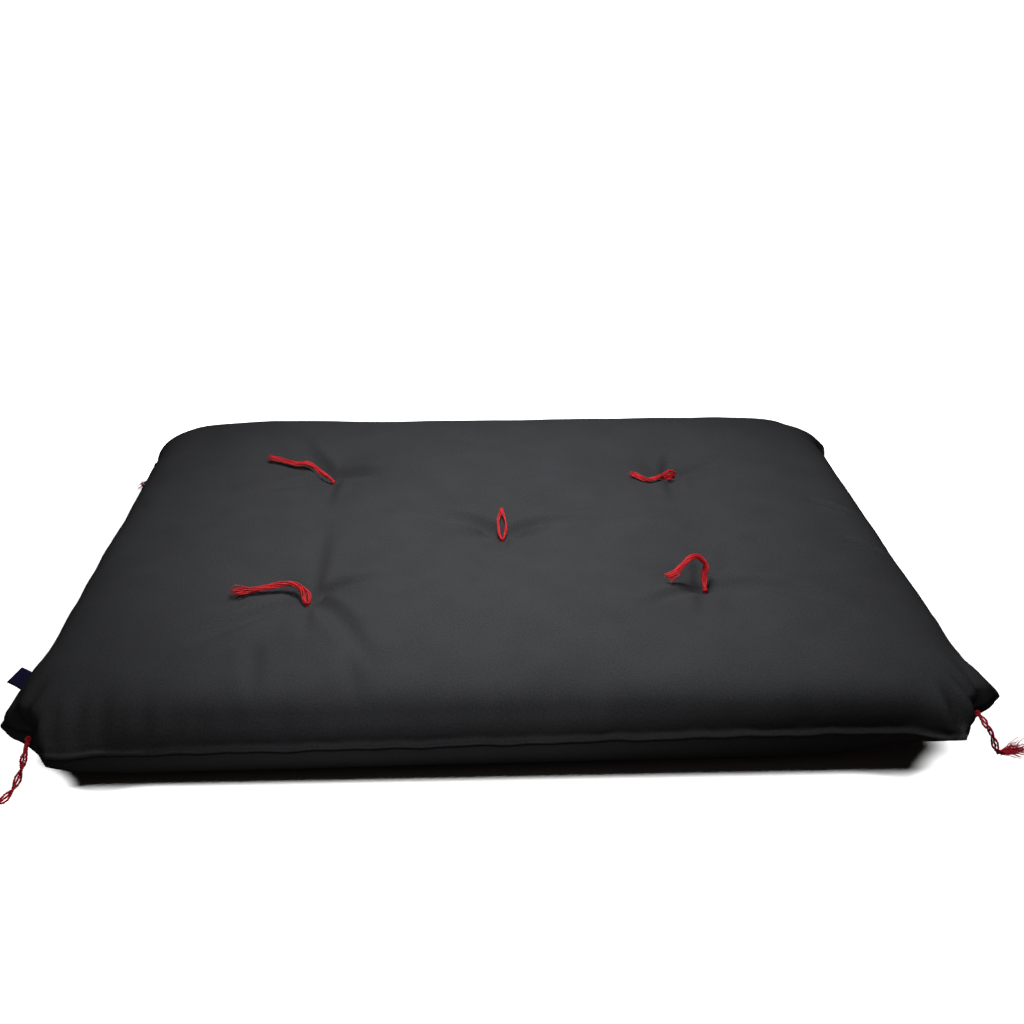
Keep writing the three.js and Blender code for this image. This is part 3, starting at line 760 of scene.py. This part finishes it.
def make_mat():
    columns = grid_lines(HALF_LENGTH)
    rows = grid_lines(HALF_DEPTH)
    u, v = np.meshgrid(columns, rows)
    top = top_surface(u, v)
    top += grid_normals(top) * relief(u, v)[..., None]
    under = under_surface(u, v)
    top_index = np.arange(u.size).reshape(u.shape)
    inside = np.zeros(u.shape, bool)
    inside[1:-1, 1:-1] = True
    under_index = top_index.copy()
    under_index[inside] = u.size + np.arange(inside.sum())

    def quads(index):
        corners = [index[:-1, :-1], index[:-1, 1:], index[1:, 1:], index[1:, :-1]]
        return np.stack([c.ravel() for c in corners], axis=1)

    points = np.concatenate([top.reshape(-1, 3), under[inside]])
    faces = np.concatenate([quads(top_index), quads(under_index)[:, ::-1]])
    mat = mesh_object("mat_cloth", points, faces.tolist())
    set_cloth(mat, np.stack([np.concatenate([w.ravel(), w[inside]]) for w in (u, v)], axis=1))
    return mat


# Threads

class Strands:
    """Thin tubes that are gathered and made into one mesh."""

    def __init__(self):
        self.points = []
        self.faces = []
        self.count = 0

    def tube(self, line, radius, sides):
        line = np.asarray(line, float)
        n = len(line)
        radius = np.broadcast_to(radius, n)
        side, up = frames_along(line)
        angles = 2 * math.pi * np.arange(sides) / sides
        ring = side[:, None] * np.cos(angles)[None, :, None] + up[:, None] * np.sin(angles)[None, :, None]
        points = line[:, None] + ring * radius[:, None, None]
        self.points.append(points.reshape(-1, 3))
        start = self.count
        for i in range(n - 1):
            low = start + i * sides
            for k in range(sides):
                after = (k + 1) % sides
                self.faces.append((low + k, low + after, low + sides + after, low + sides + k))
        self.faces.append(tuple(start + k for k in reversed(range(sides))))
        self.faces.append(tuple(start + (n - 1) * sides + k for k in range(sides)))
        self.count += n * sides

    def yarn(self, line, turn=0.0):
        """Two plies twisted round a line."""
        line = resampled(line, YARN_STEP)
        side, up = frames_along(line)
        run = length_along(line)
        for ply in range(2):
            angle = (2 * math.pi * run / PLY_PITCH + math.pi * ply + turn)[:, None]
            outwards = side * np.cos(angle) + up * np.sin(angle)
            self.tube(line + PLY_OFFSET * outwards, PLY_RADIUS, PLY_SIDES)

    def make(self, name):
        return mesh_object(name, np.concatenate(self.points), self.faces)


def tangents(line):
    tangent = np.gradient(line, axis=0)
    return tangent / np.linalg.norm(tangent, axis=1, keepdims=True)


def frames_along(line):
    """Two directions square to a line at each of its points, which turn no more than they must."""
    tangent = tangents(line)
    first = np.cross(tangent[0], (0, 0, 1))
    if np.linalg.norm(first) < NEARLY_UPRIGHT:
        first = np.cross(tangent[0], (0, 1, 0))
    sides = [first / np.linalg.norm(first)]
    for along in tangent[1:]:
        side = sides[-1] - along * np.dot(sides[-1], along)
        sides.append(side / np.linalg.norm(side))
    side = np.array(sides)
    return side, np.cross(tangent, side)


def level_frames(line):
    """A level direction and an upright one, square to a line at each of its points."""
    tangent = tangents(line)
    side = np.stack([-tangent[:, 1], tangent[:, 0], np.zeros(len(line))], axis=1)
    side /= np.maximum(np.linalg.norm(side, axis=1, keepdims=True), 1e-6)
    return side, np.cross(tangent, side)


def wander(rng, run, size, reach):
    """A slow, seeded wander of the given size along a thread."""
    value = np.zeros_like(run)
    for octave in range(3):
        phase = rng.uniform(0, 2 * math.pi)
        value += np.sin(run * 2 * math.pi * (octave + 1) / reach + phase) / (octave + 1)
    return size * value


class Cloth:
    """The finished mat, to lay threads on."""

    def __init__(self, mat):
        mesh = mat.data
        corners = [vertex.co for vertex in mesh.vertices]
        self.tree = BVHTree.FromPolygons(corners, [tuple(face.vertices) for face in mesh.polygons])

    def height(self, x, y):
        hit = self.tree.ray_cast(Vector((x * MM, y * MM, 1)), Vector((0, 0, -1)))[0]
        return 0.0 if hit is None else hit.z / MM

    def lift_clear(self, line, clearance):
        """Keeps a line at least this far above the cloth."""
        for point in line:
            point[2] = max(point[2], self.height(point[0], point[1]) + clearance)
        return line


def cut_end(strands, rng, line, clearance):
    """Loose fibres at the cut end of a thread."""
    along = line[-1] - line[-3]
    along /= np.linalg.norm(along)
    for _ in range(FIBRES):
        spread = rng.normal(0, FIBRE_SPREAD, 3)
        reach = FIBRE_LENGTH * rng.uniform(FIBRE_SHORTEST, 1)
        start = line[-1] - along * FIBRE_START + spread * PLY_RADIUS
        tip = start + (along + spread) * reach
        middle = (start + tip) / 2 + rng.normal(0, FIBRE_BEND, 3)
        fibre = np.array([start, middle, tip])
        fibre[:, 2] = np.maximum(fibre[:, 2], clearance)
        strands.tube(rounded(fibre, FIBRE_STEP), FIBRE_RADIUS, FIBRE_SIDES)


def make_tuft(name, cloth, seed):
    facts = TUFTS[name]
    rng = np.random.default_rng(seed)
    strands = Strands()
    root_x, root_y = TUFT_ROOTS[name]
    root_z = cloth.height(root_x, root_y)
    places = [(root_x, root_y, root_z - ROOT_BELOW), (root_x, root_y, root_z + WRAP_AT)]
    places += [(x, y, cloth.height(x, y) + lift) for x, y, lift in facts["route"]]
    spine = rounded(places, YARN_STEP)
    run = length_along(spine)
    t = run / run[-1]
    side, up = level_frames(spine)
    at_root = t < ROOT_TURNS
    side[at_root] = side[np.argmin(at_root)]
    up[at_root] = up[np.argmin(at_root)]
    fan = (facts["fan"] - 1) * smooth((t - FANS_FROM) / (1 - FANS_FROM)) ** 2
    wide = ROOT_SPREAD + (1 - ROOT_SPREAD) * smooth(t / SPREADS_OVER) + fan
    part = np.zeros_like(t)
    if "eye" in facts:
        start, end, half_gap = facts["eye"]
        part = half_gap * np.sin(math.pi * np.clip((t - start) / (end - start), 0, 1))
    for k in range(facts["threads"]):
        share = math.sqrt((k + 0.5) / facts["threads"])
        angle = GOLDEN_ANGLE * k + facts["twist"] * math.pi * t
        drift = wander(rng, run, **THREAD_WANDER["side"]) * smooth(t * WANDER_GROWTH)
        to_side = np.cos(angle) * share * facts["width"] * wide + drift
        drift = wander(rng, run, **THREAD_WANDER["up"])
        to_up = np.sin(angle) * share * facts["height"] * np.minimum(wide, FAN_UP) + drift
        if k == 0 and "stray" in facts:
            to_up += facts["stray"] * smooth((t - STRAY_FROM) / (1 - STRAY_FROM))
        hand = 1 if k % 2 else -1
        if name in UPRIGHT_EYES:
            to_up += hand * part
        else:
            to_side += hand * part
        line = spine + side * to_side[:, None] + up * to_up[:, None]
        kept = t <= rng.uniform(SHORTEST_THREAD, 1)
        line = line[kept]
        over = t[kept] > LIES_FROM
        line[over] = cloth.lift_clear(line[over], YARN_RADIUS)
        strands.yarn(line, rng.uniform(0, YARN_TURN))
        cut_end(strands, rng, line, cloth.height(line[-1][0], line[-1][1]) + FIBRE_RADIUS)
    turns = np.linspace(0, 2 * math.pi * WRAP_TURNS, WRAP_POINTS)
    wrap = np.stack([
        root_x + WRAP_RADIUS * np.cos(turns),
        root_y + WRAP_RADIUS * np.sin(turns),
        root_z + WRAP_AT - WRAP_BELOW + WRAP_RISE * turns / (2 * math.pi),
    ], axis=1)
    strands.yarn(wrap)
    return strands.make("tuft_threads_" + name)


def make_tassel(name, seed):
    facts = TASSELS[name]
    rng = np.random.default_rng(seed)
    strands = Strands()
    corner_x, corner_y = facts["corner"]
    seam = top_surface(np.array([corner_x * HALF_LENGTH]), np.array([corner_y * HALF_DEPTH]))[0]
    outwards = np.array([corner_x, corner_y, 0]) / math.sqrt(2)
    knot = seam + outwards * (KNOT_RADIUS + CORNER_SEAT)
    spine = rounded([knot, *facts["route"]], YARN_STEP)
    run = length_along(spine)
    t = run / run[-1]
    side, up = level_frames(spine)
    open_up = BRAID_START + (1 - BRAID_START) * smooth(t * BRAID_GROWTH)
    low = YARN_RADIUS + FLOOR_GAP
    for plait in range(PLAITS):
        angle = 2 * math.pi * (run / facts["pitch"] + plait / PLAITS)
        to_side = np.sin(angle) * facts["width"] * open_up + wander(rng, run, **BRAID_WANDER)
        to_up = np.sin(2 * angle) * BRAID_HEIGHT * open_up
        for k in range(PLAIT_YARNS):
            turn = 2 * math.pi * (run / PLAIT_PITCH + k / PLAIT_YARNS)
            line = spine + side * (to_side + facts["spread"] * np.cos(turn))[:, None]
            line = line + up * (to_up + facts["spread"] * np.sin(turn))[:, None]
            line[:, 2] = np.maximum(line[:, 2], low)
            strands.yarn(line, rng.uniform(0, YARN_TURN))
    turns = np.linspace(0, 2 * math.pi, KNOT_POINTS)
    radius = KNOT_RADIUS * KNOT_RING_SHARE
    level = np.array([-outwards[1], outwards[0], 0])
    for ring_number in range(KNOT_RINGS):
        tilt = ring_number * math.pi / KNOT_RINGS
        first = level * math.cos(tilt) + np.array([0, 0, 1]) * math.sin(tilt)
        ring = knot + radius * (np.cos(turns)[:, None] * first + np.sin(turns)[:, None] * outwards)
        strands.yarn(ring)
    add_fray(strands, rng, spine, facts["width"], low)
    return strands.make("tassel_threads_" + name)


def add_fray(strands, rng, spine, width, low):
    """Loose fibres at the end of a braid, on the floor."""
    end = spine[-1]
    along = end - spine[-4]
    along[2] = 0
    along /= np.linalg.norm(along)
    across = np.array([-along[1], along[0], 0])
    for _ in range(FRAY_FIBRES):
        lean = rng.normal(0, FRAY_LEAN)
        reach = FRAY_LENGTH * rng.uniform(*FRAY_REACH)
        start = end - along * rng.uniform(0, FRAY_START) + across * rng.uniform(-1, 1) * width
        start[2] = rng.uniform(low, low + FRAY_HEIGHT)
        tip = start + along * reach + across * lean * FRAY_SPREAD
        tip[2] = FIBRE_RADIUS * FRAY_CLEAR + FRAY_LIFT * rng.uniform(0, 1) ** FRAY_LIFT_POWER
        middle = (start + tip) / 2 + across * rng.normal(0, FRAY_BEND)
        middle[2] = (start[2] + tip[2]) / 2 + rng.uniform(0, FRAY_BEND)
        fibre = rounded([start, middle, tip], FRAY_STEP)
        strands.tube(fibre, FIBRE_RADIUS * FRAY_THICKNESS, FIBRE_SIDES)


def make_label():
    """A tape that leans out of the seam, folds at its outer edge and comes back."""
    seam = top_surface(np.array([-HALF_LENGTH]), np.array([LABEL_Y]))[0]
    out = np.linspace(0, 1, LABEL_POINTS["out"])[1:]
    half_gap = LABEL_GAP / 2

    def layer(rise):
        return [(LABEL_PROUD * t, LABEL_BOW * math.sin(math.pi * t) + rise) for t in out]

    turn = [(LABEL_PROUD + half_gap * math.sin(a), half_gap * math.cos(a)) for a in LABEL_FOLD]
    section = layer(half_gap) + turn + layer(-half_gap)[::-1]
    tilt = math.radians(LABEL_TILT)
    points = []
    across = np.linspace(-0.5, 0.5, LABEL_POINTS["along"])
    skew = math.radians(LABEL_SKEW)
    for reach, rise in section:
        for a in across:
            out = reach * math.cos(skew) - LABEL_LENGTH * a * math.sin(skew)
            along = reach * math.sin(skew) + LABEL_LENGTH * a * math.cos(skew)
            x = seam[0] - out * math.cos(tilt) + rise * math.sin(tilt)
            z = seam[2] + out * math.sin(tilt) + rise * math.cos(tilt)
            points.append((x, LABEL_Y + along, z))
    n = len(across)
    starts = [i * n + j for i in range(len(section) - 1) for j in range(n - 1)]
    faces = [(k, k + 1, k + n + 1, k + n) for k in starts]
    label = mesh_object("label_tape", points, faces)
    run = length_along(np.array([(reach, rise, 0) for reach, rise in section]))
    set_cloth(label, [(LABEL_LENGTH * a, along) for along in run for a in across])
    thick = label.modifiers.new("thickness", "SOLIDIFY")
    thick.thickness = TAPE_THICKNESS * MM
    thick.offset = 0
    return label


# Materials

def new_material(name, colour, roughness, specular):
    material = bpy.data.materials.new(name)
    material.use_nodes = True
    shader = material.node_tree.nodes["Principled BSDF"]
    shader.inputs["Base Color"].default_value = (*colour, 1)
    shader.inputs["Roughness"].default_value = roughness
    shader.inputs["Specular IOR Level"].default_value = specular
    return material, shader


class Look:
    """Adds nodes to a material. Places are in millimetres."""

    def __init__(self, material, shader, attribute=None):
        self.nodes = material.node_tree.nodes
        self.links = material.node_tree.links
        self.shader = shader
        if attribute:
            self.place = self.node("Attribute", {"attribute_name": attribute}).outputs["Vector"]
        else:
            scale = self.node("VectorMath", {"operation": "SCALE"}, Scale=1 / MM)
            self.fill(scale.inputs[0], self.node("TexCoord").outputs["Object"])
            self.place = scale.outputs["Vector"]

    def node(self, kind, options=None, **inputs):
        """A new node. Each input is a value, or the output of another node."""
        node = self.nodes.new("ShaderNode" + kind)
        for option, value in (options or {}).items():
            setattr(node, option, value)
        for name, value in inputs.items():
            self.fill(node.inputs[name], value)
        return node

    def fill(self, socket, value):
        if isinstance(value, bpy.types.NodeSocket):
            self.links.new(value, socket)
        else:
            socket.default_value = value

    def noise(self, size, detail, share=None, stretch=None):
        """Noise with features of about this size, or a share of it."""
        place = self.place
        if stretch:
            wide = self.node("VectorMath", {"operation": "MULTIPLY"})
            self.fill(wide.inputs[0], place)
            self.fill(wide.inputs[1], stretch)
            place = wide.outputs["Vector"]
        made = self.node("TexNoise", Scale=1 / size, Detail=detail, Vector=place).outputs["Fac"]
        return self.math("MULTIPLY", made, share) if share else made

    def ribs(self, pitch, turn, distortion):
        """Ribs this far apart, turned by this many degrees from the long side."""
        rotate = self.node("VectorRotate", {"rotation_type": "Z_AXIS"}, Vector=self.place)
        self.fill(rotate.inputs["Angle"], math.radians(turn))
        wave = self.node(
            "TexWave", {"wave_profile": "SIN", "bands_direction": "X"}, Scale=WAVE_PITCH / pitch,
            Distortion=distortion, Detail=1, Vector=rotate.outputs["Vector"],
        )
        return wave.outputs["Fac"]

    def math(self, kind, a, b):
        node = self.node("Math", {"operation": kind})
        for socket, value in zip(node.inputs, (a, b)):
            self.fill(socket, value)
        return node.outputs["Value"]

    def colour(self, share, low, high, places):
        """A base colour that goes from low to high where the share goes from one place to the other."""
        ramp = self.node("ValToRGB", Fac=share)
        for stop, place, colour in zip(ramp.color_ramp.elements, places, (low, high)):
            stop.position = place
            stop.color = (*colour, 1)
        self.fill(self.shader.inputs["Base Color"], ramp.outputs["Color"])

    def bump(self, height, depth):
        node = self.node("Bump", Height=height, Distance=depth * MM, Strength=1)
        self.fill(self.shader.inputs["Normal"], node.outputs["Normal"])


def scaled(colour, share):
    return [channel * share for channel in colour]


def cloth_material():
    """Black cotton twill: fine diagonal ribs, a little uneven."""
    colour = CLOTH["colour"]
    tones = CLOTH["tones"]
    material, shader = new_material("cotton", colour, CLOTH["roughness"], CLOTH["specular"])
    look = Look(material, shader, "cloth")
    tone = look.math("ADD", look.noise(**CLOTH["slow"]), look.noise(**CLOTH["speckle"]))
    look.colour(tone, scaled(colour, tones["dark"]), scaled(colour, tones["light"]), tones["places"])
    look.bump(look.math("ADD", look.ribs(**CLOTH["ribs"]), look.noise(**CLOTH["yarns"])), CLOTH["depth"])
    return material


def thread_material(name, colour):
    """Twisted cotton thread with fine fibres."""
    tones = THREAD["tones"]
    material, shader = new_material(name, colour, THREAD["roughness"], THREAD["specular"])
    look = Look(material, shader)
    look.colour(look.noise(**THREAD["speckle"]), scaled(colour, tones["dark"]), colour, tones["places"])
    look.bump(look.noise(**THREAD["fibres"]), THREAD["depth"])
    return material


def label_material():
    """Woven tape."""
    colour = TAPE["colour"]
    material, shader = new_material("label_tape", colour, TAPE["roughness"], TAPE["specular"])
    look = Look(material, shader, "cloth")
    both = look.math("ADD", look.ribs(**TAPE["weft"]), look.ribs(**TAPE["warp"]))
    weave = look.math("MULTIPLY", both, 0.5)
    look.colour(weave, colour, scaled(colour, TAPE["tones"]["light"]), TAPE["tones"]["places"])
    look.bump(weave, TAPE["depth"])
    return material


# Camera, floor and light

def make_camera():
    forward = Vector((
        math.sin(CAMERA_YAW) * math.cos(CAMERA_PITCH),
        math.cos(CAMERA_YAW) * math.cos(CAMERA_PITCH),
        -math.sin(CAMERA_PITCH),
    ))
    level = Vector((math.cos(CAMERA_YAW), -math.sin(CAMERA_YAW), 0))
    upright = level.cross(forward)
    right = level * math.cos(CAMERA_ROLL) + upright * math.sin(CAMERA_ROLL)
    up = upright * math.cos(CAMERA_ROLL) - level * math.sin(CAMERA_ROLL)
    data = bpy.data.cameras.new("camera")
    data.sensor_fit = "HORIZONTAL"
    data.sensor_width = SENSOR_WIDTH
    data.lens = SENSOR_WIDTH * FOCAL_PIXELS / PHOTO_WIDTH
    camera = bpy.data.objects.new("camera", data)
    turn = Matrix((right, up, -forward)).transposed()
    camera.matrix_world = Matrix.Translation(Vector(CAMERA_PLACE) * MM) @ turn.to_4x4()
    bpy.context.scene.collection.objects.link(camera)
    bpy.context.scene.camera = camera


def gathered(name, made):
    group = bpy.data.collections.new(name)
    for one in made:
        group.objects.link(one)
    return group


def light_only(light, made):
    """Lets a light reach only these objects."""
    light.light_linking.receiver_collection = gathered("lit_by_" + light.name, made)


def make_floor(casts_shadow):
    """A white floor, lit by lights of its own. It sends no light back to the mat."""
    signs = np.array([(-1, -1, 0), (1, -1, 0), (1, 1, 0), (-1, 1, 0)])
    corners = (signs * FLOOR_REACH - (0, 0, FLOOR_UNDER)) / MM
    floor = mesh_object("floor", corners, [(0, 1, 2, 3)])
    material, _ = new_material("floor_white", **FLOOR_WHITE)
    floor.data.materials.append(material)
    floor.visible_diffuse = False
    floor.visible_glossy = False
    for side in (-1, 1):
        data = bpy.data.lights.new("floor_light", "SUN")
        data.energy = FLOOR_LIGHT
        data.angle = math.radians(FLOOR_LIGHT_SIZE)
        light = bpy.data.objects.new("floor_light", data)
        tilt = math.radians(90 - FLOOR_LIGHT_ELEVATION)
        turn = math.radians(FLOOR_LIGHT_SIDE) * side
        light.rotation_euler = (-tilt, 0, turn)
        bpy.context.scene.collection.objects.link(light)
        light_only(light, [floor])
        light.light_linking.blocker_collection = gathered("shades_" + light.name, casts_shadow)


def add_light(data, facts, made):
    """Places a light and aims it. It reaches only these objects."""
    data.energy = facts["power"]
    light = bpy.data.objects.new(data.name, data)
    light.location = facts["place"]
    aim = Vector(facts["target"]) - Vector(facts["place"])
    light.rotation_euler = aim.to_track_quat("-Z", "Y").to_euler()
    bpy.context.scene.collection.objects.link(light)
    light_only(light, made)


def make_area(name, facts, made):
    data = bpy.data.lights.new(name, "AREA")
    data.shape = "RECTANGLE"
    data.size, data.size_y = facts["size"]
    add_light(data, facts, made)


def make_spot(name, facts, made):
    """A spot that fades towards the edge of its cone, which is given in degrees across."""
    data = bpy.data.lights.new(name, "SPOT")
    data.spot_size = math.radians(facts["cone"])
    data.spot_blend = facts["blend"]
    data.shadow_soft_size = facts["radius"]
    add_light(data, facts, made)


def make_world():
    """White where the camera looks past the floor, and dim as a light."""
    world = bpy.data.worlds.new("studio")
    world.use_nodes = True
    nodes = world.node_tree.nodes
    links = world.node_tree.links
    dim = nodes["Background"]
    dim.inputs["Color"].default_value = (*AMBIENT_COLOUR, 1)
    dim.inputs["Strength"].default_value = AMBIENT
    white = nodes.new("ShaderNodeBackground")
    white.inputs["Color"].default_value = (1, 1, 1, 1)
    white.inputs["Strength"].default_value = BACKDROP
    path = nodes.new("ShaderNodeLightPath")
    mix = nodes.new("ShaderNodeMixShader")
    links.new(path.outputs["Is Camera Ray"], mix.inputs["Fac"])
    links.new(dim.outputs["Background"], mix.inputs[1])
    links.new(white.outputs["Background"], mix.inputs[2])
    links.new(mix.outputs["Shader"], nodes["World Output"].inputs["Surface"])
    bpy.context.scene.world = world


def dress(made, node, look):
    """Gives a piece its look, and puts it in the place of its solid."""
    made.data.materials.append(look)
    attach(made, "root")
    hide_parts(node)


make_camera()
mat = make_mat()
dress(mat, "mat_body", cloth_material())
pieces = [mat]
threads = []

cloth = Cloth(mat)
tuft_look = thread_material("tuft_thread", TUFT_COLOUR)
for seed, name in enumerate(TUFTS, FIRST_TUFT_SEED):
    tuft = make_tuft(name, cloth, seed)
    dress(tuft, "tuft_" + name, tuft_look)
    threads.append(tuft)

tassel_look = thread_material("tassel_thread", TASSEL_COLOUR)
for seed, name in enumerate(TASSELS, FIRST_TASSEL_SEED):
    tassel = make_tassel(name, seed)
    dress(tassel, "tassel_" + name, tassel_look)
    threads.append(tassel)

label = make_label()
dress(label, "side_label", label_material())
pieces.append(label)

make_floor(pieces)
make_world()
for name, facts in SPOTS.items():
    make_spot(name, facts, pieces + threads if name == "top_light" else pieces)
make_area("fill", FILL, pieces)
make_area("thread_light", THREAD_LIGHT, threads)
bpy.context.scene.view_settings.view_transform = "Standard"
